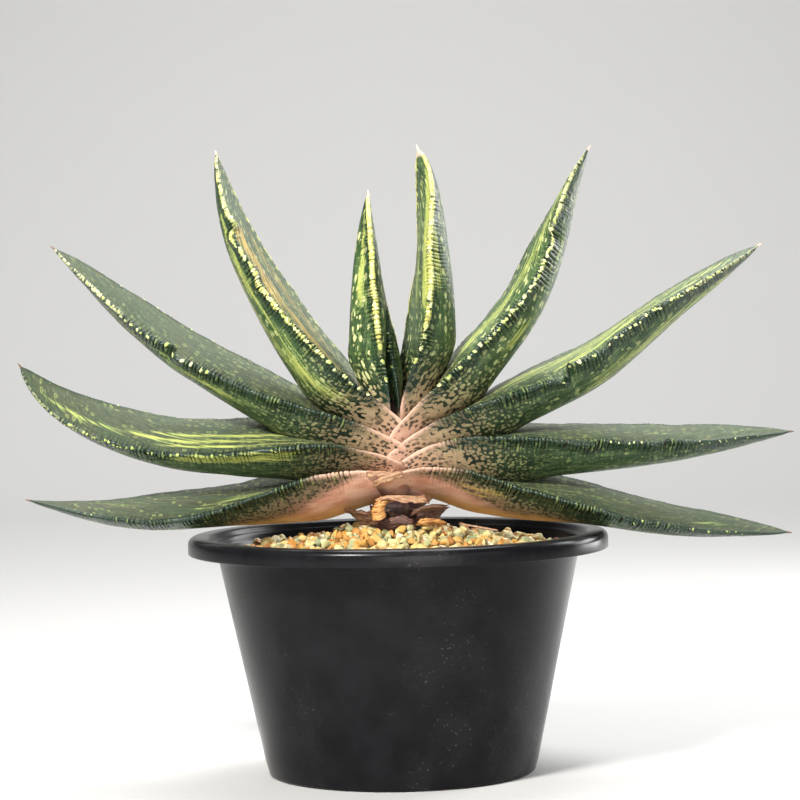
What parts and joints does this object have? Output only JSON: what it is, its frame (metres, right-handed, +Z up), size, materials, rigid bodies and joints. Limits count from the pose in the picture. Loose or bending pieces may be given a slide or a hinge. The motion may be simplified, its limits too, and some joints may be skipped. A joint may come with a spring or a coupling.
{
  "type": "potted gasteria pillansii",
  "caption": "Potted succulent with thick spotted tongue-shaped leaves in a flat fan, in a round nursery pot with gravel top dressing.",
  "frame": {"origin": "middle of the pot's flat underside", "axes": "+Z up; the fan of leaves lies in the X-Z plane, so -Y is the front it is seen from"},
  "size_m": [0.3874, 0.21, 0.3135],
  "materials": {
    "pot": "satin",
    "soil": "matte",
    "gravel": "matte",
    "stem": "matte",
    "leaf": "satin",
    "dry_sheath": "matte"
  },
  "bodies": {
    "root": {"pot": "pot", "soil": "soil", "gravel": "gravel", "stem": "stem", "leaf_right_1": "leaf", "leaf_left_1": "leaf", "leaf_right_2": "leaf", "leaf_left_2": "leaf", "leaf_right_3": "leaf", "leaf_left_3": "leaf", "leaf_right_4": "leaf", "leaf_left_4": "leaf", "leaf_right_5": "leaf", "leaf_left_5": "leaf", "leaf_centre": "leaf", "dry_sheath_1": "dry_sheath", "dry_sheath_2": "dry_sheath", "dry_sheath_3": "dry_sheath", "dry_sheath_4": "dry_sheath", "dry_sheath_5": "dry_sheath"}
  },
  "joints": []
}
